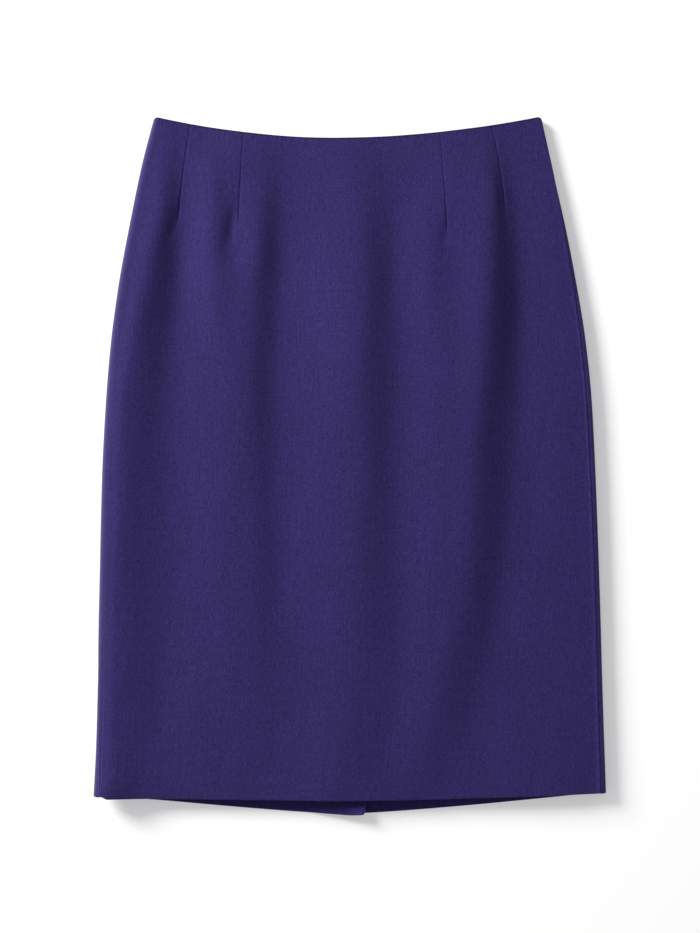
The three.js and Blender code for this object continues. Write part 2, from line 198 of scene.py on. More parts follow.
# %% Hem curl
HEM_CURL = 12.5  # the left corner of the hem stands off the surface by this much
HEM_CURL_REACH = 85.0
HEM_CURL_SHORTER = 1.2  # the reach is shorter by this factor up the side


def hem_curl(points):
    """Lift both layers at the left corner of the hem, by the square of the nearness to the corner."""
    below_hem = WAIST_Y - points[..., 1] - SKIRT_LENGTH
    away = np.hypot(points[..., 0] + HEM_HALF, HEM_CURL_SHORTER * below_hem)
    points[..., 2] += HEM_CURL * np.clip(1 - away / HEM_CURL_REACH, 0, 1) ** 2
    return points


hem_corner = np.array([-HEM_HALF, WAIST_Y - SKIRT_LENGTH, 0.0])
print("the hem's corner is lifted by", hem_curl(hem_corner)[2], "mm")

# %% From waist to hem
RIM_OUT = 0.7  # the turned edge of waist and hem, past the last row of points


def front_down(x, share):
    """How far down a point of the front is, at a share of the way from waist to hem."""
    return mix(waist_down(x, FRONT_WAIST_DIP) + RIM_OUT, front_hem_down(x) - RIM_OUT, share)


def back_down(x, share, side):
    """The same for a back panel: side is -1 for the left of the picture and 1 for the right."""
    return mix(waist_down(x, BACK_WAIST_DIP) + RIM_OUT, back_hem_down(x, side) - RIM_OUT, share)


print("centre front:", round(float(front_down(0.0, 1.0) - front_down(0.0, 0.0)), 1), "mm long")

# %% [markdown]
# ## The lie of the front
#
# Laid suiting keeps low, wide folds, here up to 12 mm high, that fan out from the darts and die away
# towards the hem. They could be sculpted by hand, but a table of ridges and troughs is easy to read, to
# compare with the real cloth and to change. Each row below is one ridge or trough, and a smooth curve
# across the rows gives the height between them. The folds are close to the CAD's, with a few rows more.

# %% Ridges and troughs
# Ridges and troughs of the front, left to right: where each lies at the fold levels, and its height there.
FOLD_LEVELS = (0, 45, 80, 120, 165, 220, 270, 400, 550, 645)
FOLDS = {
    "left ridge": (
        (-172, -177, -178, -187, -197, -208.5, -216.5, -221.5, -226, -229),
        (0, 1.2, 2.4, 3.9, 4.4, 4.1, 3.8, 3.3, 3.1, 3.0),
    ),
    "left trough": (
        (-150, -160, -160, -161, -162, -166, -169, -168, -172, -196),
        (0, -0.8, -3.2, -5.0, -5.6, -6.0, -5.8, -4.6, -3.0, 0.2),
    ),
    "left swell": (
        (-110, -124, -126, -128, -126, -116, -108, -109, -109, -118),
        (1.2, 4.0, 5.6, 5.2, 5.0, 4.6, 3.6, 1.8, -0.2, -0.4),
    ),
    "left furrow": (
        (-98, -106, -108, -109, -108, -108, -104, -100, -98, -98),
        (1.3, 4.4, 3.7, 3.0, 4.9, 4.9, 3.6, 1.7, -0.3, -0.4),
    ),
    "left shoulder": (
        (-84, -88, -87, -87, -94, -97, -97, -93, -88, -86),
        (1.4, 4.4, 5.9, 6.3, 5.5, 4.7, 3.4, 1.4, -0.4, -0.6),
    ),
    "inner left trough": (
        (-52, -58, -63, -64, -66, -66, -67, -67, -64, -62),
        (1, 2.3, 2.0, 0.0, -1.5, -2.3, -2.7, -2.5, -1.9, -0.3),
    ),
    "middle ridge": (
        (-10, 2, 7, 10, 11, 10, 9, 8, 0, -14),
        (1.8, 5.4, 7.7, 10.2, 11.5, 11.3, 10.3, 7, 3, 3.0),
    ),
    "inner right trough": (
        (42, 48, 46, 43, 43, 44, 46, 48, 44, 32),
        (1.2, 3.2, 3.2, 3.1, 3.3, 3.4, 3.0, 2.0, 0, 0.9),
    ),
    "right swell": (
        (72, 78, 79, 78, 80, 84, 86, 82, 68, 50),
        (1.3, 4.9, 6.4, 8.2, 8.4, 9.3, 9.1, 6.6, 2.2, 0.9),
    ),
    "right furrow": (
        (84, 92, 93, 93, 94, 98, 99, 90, 72, 54),
        (1.3, 5.3, 6.8, 7.0, 8.2, 10.0, 10.2, 7.2, 2.6, 0.6),
    ),
    "right ridge": (
        (99, 126, 130, 130, 129, 124, 118, 111, 81, 58),
        (1.2, 5.7, 8.5, 10.7, 12.1, 12.6, 12.0, 8.5, 3.5, 0.5),
    ),
    "right trough": (
        (131, 150, 156, 160, 162, 163, 161, 154, 128, 99),
        (0.6, 0.2, -1.0, -1.6, -1.8, -1.5, -1.4, -1, -2, 0),
    ),
    "right flat": (
        (155, 182, 190, 196, 200, 202, 202, 198, 198, 198),
        (0, 0, 0, 0, 0, 0, 0, 0, 0, 1.6),
    ),
}
print("ridges and troughs:", ", ".join(FOLDS))

# %% [markdown]
# ## The fold map
#
# A mesh could work its heights out from the table at each of its points, but suiting bends in no sharp
# corner, and softening needs evenly spaced cells. So the height is worked out once on a regular map, a cell
# every millimetre across and every two down, and softened there. The front's mesh then reads its heights
# from the map.

# %% The fold map
MAP_X = np.arange(-250.0, 250.5, 1.0)
MAP_DOWN = np.arange(-5.0, 670.0, 2.0)
SOFTEN_ACROSS = 3.5  # widths of the bell that softens the map
SOFTEN_ALONG = 8.0
# Soft dents and swells: x, down, half width, half length, lean (x per down) and height.
DENTS = (
    (-109, 116, 7, 24, 0.0, -1.0),
)


def blurred(values, sigma, axis):
    """Average along one axis with a bell-shaped weight of the given width in cells."""
    reach = int(np.ceil(3 * sigma))
    weight = np.exp(-0.5 * (np.arange(-reach, reach + 1) / sigma) ** 2)
    weight /= weight.sum()
    pad = [(reach, reach) if i == axis else (0, 0) for i in range(values.ndim)]
    padded = np.pad(values, pad, mode="edge")
    return np.apply_along_axis(lambda line: np.convolve(line, weight, mode="valid"), axis, padded)


def soft_forms(table, x, down):
    """Add up soft dents: each is a bell across its line and along it."""
    height = np.zeros(np.broadcast(x, down).shape)
    for x0, down0, half_width, half_length, lean, rise in table:
        across = (x - x0 - lean * (down - down0)) / half_width
        along = (down - down0) / half_length
        height = height + rise * np.exp(-(across**2) - along**2)
    return height


def fold_map():
    """Height of the folds above the side rolls: a smooth curve across each level's ridges and troughs."""
    x, down = np.meshgrid(MAP_X, MAP_DOWN)
    left, right, roll = (outline(name, down) for name in ("left", "right", "roll"))
    lines = [curve_through(FOLD_LEVELS, xs, down) for xs, _ in FOLDS.values()]
    rises = [curve_through(FOLD_LEVELS, rise, down) for _, rise in FOLDS.values()]
    flat = np.zeros_like(x)
    knots = np.stack([left, left + roll, *lines, right - roll, right], axis=-1)
    values = np.stack([flat, flat, *rises, flat, flat], axis=-1)
    height = curve_through(knots, values, x)
    height = height + soft_forms(DENTS, x, down)
    height = blurred(height, SOFTEN_ACROSS / (MAP_X[1] - MAP_X[0]), 1)
    return blurred(height, SOFTEN_ALONG / (MAP_DOWN[1] - MAP_DOWN[0]), 0)


FOLD_HEIGHTS = fold_map()
print("folds between", round(FOLD_HEIGHTS.min(), 1), "and", round(FOLD_HEIGHTS.max(), 1), "mm")

# %% [markdown]
# ## Creases and ripples
#
# At a dart's tip the cloth has a crease or two that stay crisp, and laid cloth is never quite even. Both
# are too fine for the softened map, so they are added to its heights. A noise texture with a Displace
# modifier could give the ripples too, but two products of sines do it without any more subdivision.

# %% Height of the front
# Small creases at the darts' tips, in the same columns as the dents.
CREASES = (
    (-166.5, 101, 4.0, 17, -0.30, -0.9),
    (-112.5, 105, 5.0, 20, -0.16, -1.9),
    (89.5, 114, 4.0, 13, -0.12, -0.9),
    (143.5, 81, 3.6, 24, 0.13, -1.5),
    (-119.0, 62, 7.0, 26, 0.04, -0.5),
)
RIPPLE_HEIGHTS = (0.17, 0.06)
RIPPLES_START = 6.0  # how far inside the outline
RIPPLES_GROW = 18.0  # and over what length they reach their height


def read_map(values, x, down):
    """Read the map between its cells, with straight lines."""
    i = np.clip((x - MAP_X[0]) / (MAP_X[1] - MAP_X[0]), 0, len(MAP_X) - 1.001)
    j = np.clip((down - MAP_DOWN[0]) / (MAP_DOWN[1] - MAP_DOWN[0]), 0, len(MAP_DOWN) - 1.001)
    i0, j0 = i.astype(int), j.astype(int)
    upper = mix(values[j0, i0], values[j0, i0 + 1], i - i0)
    lower = mix(values[j0 + 1, i0], values[j0 + 1, i0 + 1], i - i0)
    return mix(upper, lower, j - j0)


def ripples(x, down):
    """Slight unevenness of laid cloth: two products of sines, whose phases wander slowly along the cloth."""
    first = np.sin(x / 7.3 + 1.1 * np.sin(down / 61)) * np.sin(down / 47 + 0.9 * np.sin(x / 90))
    second = np.sin(x / 4.1 + down / 83 + 2.0) * np.sin(down / 29 + x / 120)
    return RIPPLE_HEIGHTS[0] * first + RIPPLE_HEIGHTS[1] * second


def front_height(x, down):
    """Folds over the rolls, with small creases, and ripples that fade at the sides."""
    left, right = outline("left", down), outline("right", down)
    inside = smooth((np.minimum(x - left, right - x) - RIPPLES_START) / RIPPLES_GROW)
    fine = soft_forms(CREASES, x, down) + inside * ripples(x, down)
    return 2 * outline("roll", down) + read_map(FOLD_HEIGHTS, x, down) + fine


middle_height = float(front_height(np.array(0.0), np.array(300.0)))
print("height in the middle of the front:", round(middle_height, 1), "mm")

# %% [markdown]
# ## Cloth as a closed shell
#
# Real cloth has a thickness, and a hem shows it as a soft, turned edge. The Solidify modifier gives a
# thickness, but the same one everywhere and with sharp rims. Here each panel is a grid of points on its
# outside. The inside is the same grid moved in by the cloth's thickness at each point, and three rows of a
# half circle join the two.

# %% Grids
def unit_vectors(v):
    """The same directions, each one unit long."""
    return v / np.maximum(np.linalg.norm(v, axis=-1, keepdims=True), 1e-12)


def grid_normals(points):
    """Directions that the outside faces: the way down the rows, crossed with the way across."""
    along = np.gradient(points, axis=0)
    across = np.gradient(points, axis=1)
    return unit_vectors(np.cross(along, across))


def perimeter(rows, columns):
    """Row and column numbers of the points round a grid's edge, from its first point."""
    top = [(0, i) for i in range(columns)]
    right = [(j, columns - 1) for j in range(1, rows)]
    bottom = [(rows - 1, i) for i in range(columns - 2, -1, -1)]
    left = [(j, 0) for j in range(rows - 2, 0, -1)]
    ring = np.array(top + right + bottom + left)
    return ring[:, 0], ring[:, 1]


print("a grid of 3 by 4 points has a rim of", len(perimeter(3, 4)[0]), "points")

# %% Rims
RIM_ANGLES = (35.0, 90.0, 145.0)  # degrees, from the outside over the edge


def outward_at_rim(points, normals, j, i):
    """At the rim, the direction away from the cloth and in its plane."""
    rows, columns = points.shape[:2]
    ahead = points[np.roll(j, -1), np.roll(i, -1)] - points[np.roll(j, 1), np.roll(i, 1)]
    away = np.cross(ahead, normals[j, i])
    away = unit_vectors(away)
    middle = points[np.clip(j, 1, rows - 2), np.clip(i, 1, columns - 2)]
    facing = np.sign(((points[j, i] - middle) * away).sum(axis=1, keepdims=True))
    return away * np.where(facing == 0, 1, facing)


def rim_points(points, inner, normals, thickness, j, i):
    """Rows of points round the rim: a half circle from the outside, over the edge, to the inside."""
    away = outward_at_rim(points, normals, j, i)
    middle = (points[j, i] + inner[j, i]) / 2
    radius = thickness[j, i][:, None] / 2
    turns = np.radians(RIM_ANGLES)
    return [middle + radius * (np.cos(turn) * normals[j, i] + np.sin(turn) * away) for turn in turns]


print("rows of points round a rim:", len(RIM_ANGLES))

# %% Faces of a shell
def shell_faces(rows, columns, j, i):
    """Quads of a shell whose points are the outside's, the inside's and then the rim's rows."""
    count = rows * columns
    ring = len(j)
    number = np.arange(count).reshape(rows, columns)
    a, b = number[:-1, :-1].ravel(), number[1:, :-1].ravel()
    c, d = number[1:, 1:].ravel(), number[:-1, 1:].ravel()
    faces = [np.stack([a, b, c, d], axis=1), np.stack([a, d, c, b], axis=1) + count]
    loops = [number[j, i]]
    loops += [2 * count + k * ring + np.arange(ring) for k in range(len(RIM_ANGLES))]
    loops += [number[j, i] + count]
    for first, second in zip(loops[:-1], loops[1:]):
        faces.append(np.stack([first, np.roll(first, -1), np.roll(second, -1), second], axis=1))
    return np.concatenate(faces)


print("a shell of 3 by 4 points has", len(shell_faces(3, 4, *perimeter(3, 4))), "faces")

# %% [markdown]
# ## From arrays to a mesh
#
# Blender takes a mesh as arrays: where the points are, and which points each face joins. Every panel also
# has two attributes, which its material reads. One says where the colour is drawn darker, along the
# waist's edge. The other says where a painted sheen makes the colour paler, where the cloth turns round a
# side. Both could be painted on by hand, but they follow the grid and the outline, so they are worked out.

# %% Meshes
def add_object(name, data):
    """Put a mesh, a light or a camera into the scene."""
    added = bpy.data.objects.new(name, data)
    bpy.context.scene.collection.objects.link(added)
    return added


def quad_mesh(name, vertices, faces):
    """Make a smooth mesh of points in metres and rows of four point numbers."""
    mesh = bpy.data.meshes.new(name)
    mesh.vertices.add(len(vertices))
    mesh.vertices.foreach_set("co", vertices.astype(np.float32).ravel())
    mesh.loops.add(faces.size)
    mesh.loops.foreach_set("vertex_index", faces.astype(np.int32).ravel())
    mesh.polygons.add(len(faces))
    mesh.polygons.foreach_set("loop_start", np.arange(0, faces.size, 4, dtype=np.int32))
    mesh.update(calc_edges=True)
    mesh.validate()
    mesh.polygons.foreach_set("use_smooth", np.ones(len(mesh.polygons), dtype=bool))
    return mesh


print("meshes so far:", len(bpy.data.meshes))

# %% Painted sheen at the sides
PAINTED_SHEEN_LEFT = (1.5, 9.0)  # how strongly the painted sheen shows at the side, and how far in
PAINTED_SHEEN_RIGHT = (2.6, 4.0)


def painted_sheen_at(x, down):
    """How strongly the painted sheen shows where the cloth turns round a side: a bell of the way in from each
    side.
    """
    left = x - outline("left", down)
    right = outline("right", down) - x
    painted_sheen = 0.0
    for way_in, (share, reach) in ((left, PAINTED_SHEEN_LEFT), (right, PAINTED_SHEEN_RIGHT)):
        painted_sheen = painted_sheen + share * np.exp(-((way_in / reach) ** 2))
    return painted_sheen


print("nap at the left of the hip:", round(float(painted_sheen_at(HIP["left"], HIP["down"])), 2))

# %% A shell of cloth
def on_all_points(values, j, i):
    """Give the outside's values to the inside's points and to the rim's as well."""
    flat = values.reshape(-1, *values.shape[2:])
    return np.concatenate([flat, flat] + [values[j, i]] * len(RIM_ANGLES))


def cloth_shell(name, points, thickness, cloth_uv, darkened=None):
    """Make a closed mesh object of a grid of outside points.

    points: rows by columns by 3, in millimetres. thickness: the same rows and columns. cloth_uv: each point's
    place on the flat cloth, in metres. pressed: how much darker each point's colour is drawn, from 0 to 1.
    """
    normals = grid_normals(points)
    inner = points - normals * thickness[..., None]
    j, i = perimeter(*points.shape[:2])
    rims = rim_points(points, inner, normals, thickness, j, i)
    vertices = np.concatenate([points.reshape(-1, 3), inner.reshape(-1, 3), *rims]) * MM
    faces = shell_faces(*points.shape[:2], j, i)
    mesh = quad_mesh(name, vertices, faces)
    uv = on_all_points(cloth_uv, j, i)[faces.ravel()]
    mesh.uv_layers.new(name="cloth").uv.foreach_set("vector", uv.astype(np.float32).ravel())
    # How much darker the colour is drawn, along the waist's edge.
    darkened = np.zeros(points.shape[:2]) if darkened is None else darkened
    # Where a sheen is painted into the colour, along the rolled sides.
    painted_sheen = painted_sheen_at(points[..., 0], WAIST_Y - points[..., 1])
    for attribute, values in (("darkened", darkened), ("painted_sheen", painted_sheen)):
        added = mesh.attributes.new(attribute, "FLOAT", "POINT")
        added.data.foreach_set("value", on_all_points(values, j, i).astype(np.float32))
    area = sum(face.area for face in mesh.polygons) / 2
    print(name, len(mesh.polygons) * 2, "triangles,", round(area, 4), "square metres")
    return add_object(name, mesh)


print("each panel holds its place on the flat cloth, where it is pressed, and its nap")

# %% [markdown]
# ## Side rolls
#
# Where the cloth turns from front to back, the light runs along the roll, and the pressed seam shows as a
# fine step on it. A bevelled edge would be a plain circle. Here the upper half of the roll may be squarer
# than a circle, as the right side is, and the front's edge stands a little proud of the back's.

# %% Side rolls
SEAM_STEPS = {-1: 0.4, 1: 0.35}  # the front's seam edge stands this proud, and the back's lies as much lower
STEP_FADES = 2.2  # along the arc
SEAM_HALF_GAP = 0.42  # from the seam's line to the last points of each panel
ROLL_POWER = {-1: 1.8, 1: 5.5}  # 2 is a circle, and more is squarer


def roll_points(side, angle, share, down_of, seam_name, step):
    """Points round a side's roll, at an angle above the outline.

    The roll's lower half is a circle round its axis, and its upper half a circle that may be drawn squarer.
    Beside the seam the cloth is lifted by the step, which dies away in a few millimetres along the arc.
    """
    level = share * SKIRT_LENGTH
    roll = outline("roll", level)
    edge = outline("left" if side < 0 else "right", level)
    turn = np.radians(angle)
    power = ROLL_POWER[side]
    square = (np.abs(np.cos(turn)) ** power + np.abs(np.sin(turn)) ** power) ** (-1 / power)
    from_seam = roll * np.abs(turn - np.radians(outline(seam_name, level)))
    radius = roll * np.where(turn > 0, square, 1.0) + step * np.exp(-from_seam / STEP_FADES)
    x = edge - side * (roll - radius * np.cos(turn))
    return np.stack([x, WAIST_Y - down_of(x, share), roll + radius * np.sin(turn)], axis=-1)


print("height of the roll at the hip:", 2 * HIP["roll"], "mm")

# %% [markdown]
# ## Thickness and the flat cloth
#
# The hem is turned up and a facing backs the waist, so the cloth is double there, and that shows in how its
# edge catches the light. The weave has to run with the cloth and not with the world, so each point also
# gets its place on the flat cloth. Blender's unwrapping could find one, but the rows already run across the
# cloth, and adding up the steps along a row keeps the threads' true distance.

# %% Thickness
CLOTH = 0.75  # thickness of the suiting
TURNED = 1.5  # thickness where the hem is turned up and where the waist has its facing
HEM_TURN = 40.0
FACING = 48.0
TURN_RUN = 2.5  # the thickness changes over this length


def thickness_at(down, hem_down, waist_at):
    """Cloth, thicker where the hem is turned up and where the facing backs the waist."""
    hem = smooth((down - (hem_down - HEM_TURN)) / TURN_RUN)
    waist = smooth((waist_at + FACING - down) / TURN_RUN)
    return mix(CLOTH, TURNED, np.maximum(hem, waist))


print("cloth", CLOTH, "mm thick, and", TURNED, "mm where it is turned")

# %% Flat cloth
def flat_uv(points, offset):
    """Each point's place on the flat cloth: the length along its row from the middle, and the way down."""
    steps = np.linalg.norm(np.diff(points, axis=1), axis=2)
    run = np.concatenate([np.zeros((len(points), 1)), np.cumsum(steps, axis=1)], axis=1)
    run = run - run[:, run.shape[1] // 2][:, None]
    return np.stack([run + offset, WAIST_Y - points[..., 1]], axis=-1) * MM


print("places on the flat cloth are in metres")

# %% Rows
# Rows along the waist's edge whose colour is drawn darker.
DARKENED_ROWS = 2
ROWS = 205
CLOSE_ROWS = (0.5, 1.2, 2.4)  # from both edges


def row_shares(count, crowd):
    """Shares of the way from waist to hem, with a few very close rows at both edges."""
    plain = np.linspace(0.0, 1.0, count)
    close = np.array(crowd) / SKIRT_LENGTH
    return np.unique(np.concatenate([plain, close, 1 - close]))


def darkened_waist(points):
    """1 on the rows along the waist's edge, where the colour is drawn darker, and 0 elsewhere."""
    darkened = np.zeros(points.shape[:2])
    darkened[:DARKENED_ROWS] = 1.0
    return darkened


SHARES = row_shares(ROWS, CLOSE_ROWS)
print("rows of each panel:", len(SHARES))

# %% [markdown]
# ## The front panel
#
# A dart is a wedge of cloth that is folded away and sewn, which draws the waist in. From outside it is a
# fine line in a narrow valley, deepest near its tip and gone just past it. A bump in the material could
# draw the line, but it would throw no shadow in a low light. So the valley is in the mesh, and the grid's
# columns follow each dart and the fold below it, close together, which keeps the line sharp.

# %% Darts
# Top x, tip x, how far down the tip is, bow, and the grid line's x at the dart levels below the tip.
DARTS = (
    (-149.6, -163.4, 98, -1.1, (-179, -189, -196, -203.5, -211)),
    (-99.8, -106.0, 102, -0.4, (-108, -104, -108, -112, -116)),
    (82.8, 90.8, 107, 0.9, (90.5, 86, 79, 62, 47)),
    (131.5, 145.8, 86, 1.7, (147, 142, 128, 103.5, 80)),
)
DART_LEVELS = (165, 270, 400, 550, 645)
DART_OFFSETS = np.array([-1.0, -0.6, -0.3, 0.0, 0.3, 0.6, 1.0])
DART_REACH = 2.2  # half the width of the close columns
DART_DEPTH = 1.2
DART_NARROW = 0.45  # how far from the seam the valley is a third as deep


def dart_line(dart, down):
    """x of a dart's seam at a level: bowed down to its tip, then along the fold below it."""
    top_x, tip_x, tip_down, bow, below = dart
    t = np.clip(down / tip_down, 0, 1)
    upper = mix(top_x, tip_x, t) + 4 * bow * t * (1 - t)
    lower = curve_through((tip_down, *DART_LEVELS), (tip_x, *below), down)
    return np.where(down > tip_down, lower, upper)


def dart_valley(distance, depth):
    """Depth of the valley at a distance from the seam: a sharp V with soft shoulders."""
    return depth * np.exp(-np.abs(distance) / DART_NARROW)


def columns_round(stops, counts, spread, depths):
    """Columns of x between stops, with close columns round each inner stop, which is a dart's seam.

    Returns the columns and the depth of the dart's valley in each.
    """
    columns, valleys = [], []
    inner = len(counts) - 1
    way = np.sign(stops[1] - stops[0])
    for band, count in enumerate(counts):
        start = stops[band] + (way * spread if band else 0)
        end = stops[band + 1] - (way * spread if band < inner else 0)
        for k in range(1 if band else 0, count if band < inner else count + 1):
            columns.append(mix(start, end, k / count))
            valleys.append(np.zeros_like(start))
        if band < inner:
            for offset in DART_OFFSETS:
                columns.append(stops[band + 1] + way * offset * spread)
                valleys.append(dart_valley(offset * spread, depths[band]))
    return np.stack(columns, axis=1), np.stack(valleys, axis=1)


print("darts' lengths:", [dart[2] for dart in DARTS], "mm")

# %% Front panel
ROLL_STEPS = 9
BANDS = (16, 24, 68, 22, 38)  # columns between the rolls and the darts, left to right
DART_SHARES = (0.55, 1.15)  # shares of the depth at the waist and at the tip
PAST_TIP = 3.0  # a valley ends this far past its tip
TIP_RUN = 7.0  # and fades over this length
COLUMNS_PART = (105.0, 60.0, 6.0)  # the close columns part from this far down, over this length, to this


def front_points():
    """Outside of the front: the left roll, the folds with the darts' valleys, and the right roll."""
    level = SHARES * SKIRT_LENGTH
    share = SHARES[:, None]
    left, right, roll = (outline(name, level) for name in ("left", "right", "roll"))
    marks, depths = [], []
    for dart in DARTS:
        tip_down = dart[2]
        down = front_down(dart_line(dart, level), SHARES)
        marks.append(dart_line(dart, down))
        deeper = mix(*DART_SHARES, np.clip(down / tip_down, 0, 1) ** 2)
        depths.append(DART_DEPTH * deeper * smooth((tip_down + PAST_TIP - down) / TIP_RUN))
    part_from, part_over, part_reach = COLUMNS_PART
    spread = mix(DART_REACH, part_reach, smooth((level - part_from) / part_over))
    stops = [left + roll, *marks, right - roll]
    x, valleys = columns_round(stops, BANDS, spread, depths)
    down = front_down(x, share)
    z = front_height(x, down) - valleys
    over = np.stack([x, WAIST_Y - down, z], axis=-1)
    gap = np.degrees(SEAM_HALF_GAP / roll)
    steps = np.arange(ROLL_STEPS) / ROLL_STEPS
    left_angle = mix((outline("seam_left", level) + gap)[:, None], 90.0, steps)
    right_angle = mix((outline("seam_right", level) + gap)[:, None], 90.0, steps)[:, ::-1]
    left_roll = roll_points(-1, left_angle, share, front_down, "seam_left", SEAM_STEPS[-1])
    right_roll = roll_points(1, right_angle, share, front_down, "seam_right", SEAM_STEPS[1])
    return hem_curl(np.concatenate([left_roll, over, right_roll], axis=1))


def front_panel():
    """The front as a shell, double at the hem and the waist."""
    points = front_points()
    x, down = points[..., 0], WAIST_Y - points[..., 1]
    thickness = thickness_at(down, front_hem_down(x), waist_down(x, FRONT_WAIST_DIP))
    return cloth_shell("front_cloth", points, thickness, flat_uv(points, 0.0), darkened_waist(points))


front_cloth = front_panel()

# %% [markdown]
# ## Centre back and vent
#
# The back has a seam down its middle. Near the hem the seam opens into a vent, so that the wearer can walk:
# the overlap's edge is turned in there, and the underlap goes on behind it. Laid front up, the underlap
# lies on the overlap, and its free corner has curled up at the hem. The vent could be cut out of one sheet,
# but two edges that are worked out from the same seam line can never cross.

# %% Centre back
CENTRE_BACK = ((0, -2.0), (470, -8.0), (661, -13.0))  # down and x


def centre_back(down):
    """x of the centre back seam at a level."""
    return curve_through([row[0] for row in CENTRE_BACK], [row[1] for row in CENTRE_BACK], down)


print("centre back at the waist:", float(centre_back(0.0)), "mm")

# %% Vent
VENT_HEIGHT = 190.0
VENT_GAPE = 4.0
VENT_DOWN = OVERLAP_HEM_DOWN - VENT_HEIGHT


def vent_share(down):
    """The share of the vent's height that lies above a level."""
    return np.clip((down - VENT_DOWN) / VENT_HEIGHT, 0, 1)


def overlap_edge(down):
    """The overlap draws back from the seam's line as the square of the way down the vent."""
    return centre_back(down) - VENT_GAPE * vent_share(down) ** 2


print("the vent starts", round(VENT_DOWN, 1), "mm down")

# %% Underlap
UNDERLAP_WIDTH = 27.0
UNDERLAP_LIFT = 1.85
STEP_UP_RUN = 20.0  # the underlap climbs onto the overlap over this length
STEP_UP_BESIDE = 24.0  # starting this far before the overlap's edge
STEP_UP_ABOVE = 26.0  # and this far above the vent
UNDERLAP_CURL = 9.0
UNDERLAP_CURL_REACH = 60.0
UNDERLAP_CURL_SHORTER = 1.4  # the reach is shorter by this factor up the edge
UNDERLAP_CORNER = 2.2  # the free corner is turned in by this much
UNDERLAP_CORNER_RUN = 4.0


def underlap_edge(down):
    """The underlap's edge runs out at 45 degrees to its full width, and turns in at its free corner."""
    run = UNDERLAP_CORNER_RUN
    turned_in = UNDERLAP_CORNER * smooth((down - UNDERLAP_HEM_DOWN + run) / run)
    return centre_back(down) + UNDERLAP_WIDTH * np.clip((down - VENT_DOWN) / UNDERLAP_WIDTH, 0, 1) - turned_in


def underlap_lift(x, down):
    """The underlap steps up over the overlap, and curls up towards its free corner."""
    beside = smooth((x - overlap_edge(down) + STEP_UP_BESIDE) / STEP_UP_RUN)
    along = smooth((down - VENT_DOWN + STEP_UP_ABOVE) / STEP_UP_RUN)
    away = np.hypot(x - underlap_edge(down), UNDERLAP_CURL_SHORTER * (UNDERLAP_HEM_DOWN - down))
    curl = UNDERLAP_CURL * np.clip(1 - away / UNDERLAP_CURL_REACH, 0, 1) ** 2
    return UNDERLAP_LIFT * beside * along + curl


print("the underlap's edge at the hem:", round(float(underlap_edge(UNDERLAP_HEM_DOWN)), 1), "mm")

# %% [markdown]
# ## The back panels
#
# The back lies flat on the surface, with a few shallow dents and two darts in each half. It swells a little
# over the zip's slider, which stands up inside it, and the seam's lips part there. Both halves come from
# one function, since they differ only in their side and in the underlap. A Mirror modifier would make them
# quite alike, but the seam isn't in the middle and the two outlines differ.

# %% Back darts and dents
# Darts of a back panel: how far from the centre back at the top and the tip, and how far down the tip is.
BACK_DARTS = (
    (62, 67, 152),
    (108, 116, 138),
)
BACK_DART_DEPTH = 0.9
BACK_DART_RUN = 14.0  # the valley fades over this length, above its tip
# Dents of the back, in the columns of the front's.
BACK_DENTS = (
    (-92, 215, 15, 74, -0.08, 2.3),
    (-152, 300, 13, 95, -0.12, 1.7),
    (86, 200, 14, 64, 0.10, 2.5),
    (142, 330, 16, 110, 0.05, 2.0),
    (62, 430, 12, 80, 0.14, 1.6),
    (-80, 500, 14, 90, 0.10, 1.5),
    (132, 585, 15, 60, -0.06, 1.2),
)
print("darts in each back panel:", len(BACK_DARTS), "and dents in both:", len(BACK_DENTS))

# %% Swell over the slider
SLIDER_BELOW_WAIST = 9.0
SLIDER_DOWN = BACK_WAIST_DIP + SLIDER_BELOW_WAIST
ZIP_BULGE = 3.6
BULGE_HALF_WIDTH = 17.0
BULGE_HALF_LENGTH = 30.0
BULGE_BELOW_SLIDER = 9.0


def zip_bulge(x, down):
    """A soft swell over the slider: a bell across, and a flat-topped one along."""
    across = (x - centre_back(down)) / BULGE_HALF_WIDTH
    along = (down - SLIDER_DOWN - BULGE_BELOW_SLIDER) / BULGE_HALF_LENGTH
    return ZIP_BULGE * np.exp(-(across**2) - along**4)


print("slider at", SLIDER_DOWN, "mm down")

# %% Columns of a back panel
BACK_BANDS = (20, 14, 14)  # columns between the roll, the darts and the centre back
BACK_COLUMNS_PART = (140.0, 60.0, 5.0)  # as in the front
BESIDE_CENTRE = 34.0  # the last band ends this far from the centre back
FROM_CENTRE = np.array([30, 26, 22, 19, 16, 13, 10, 7.5, 5, 3, 1.5])  # close columns beside the seam
UNDERLAP_COLUMNS = 9
LIPS_PARTED = 1.1
LIPS_SHUT_FROM = 4.0  # below the slider
LIPS_SHUT_RUN = 12.0


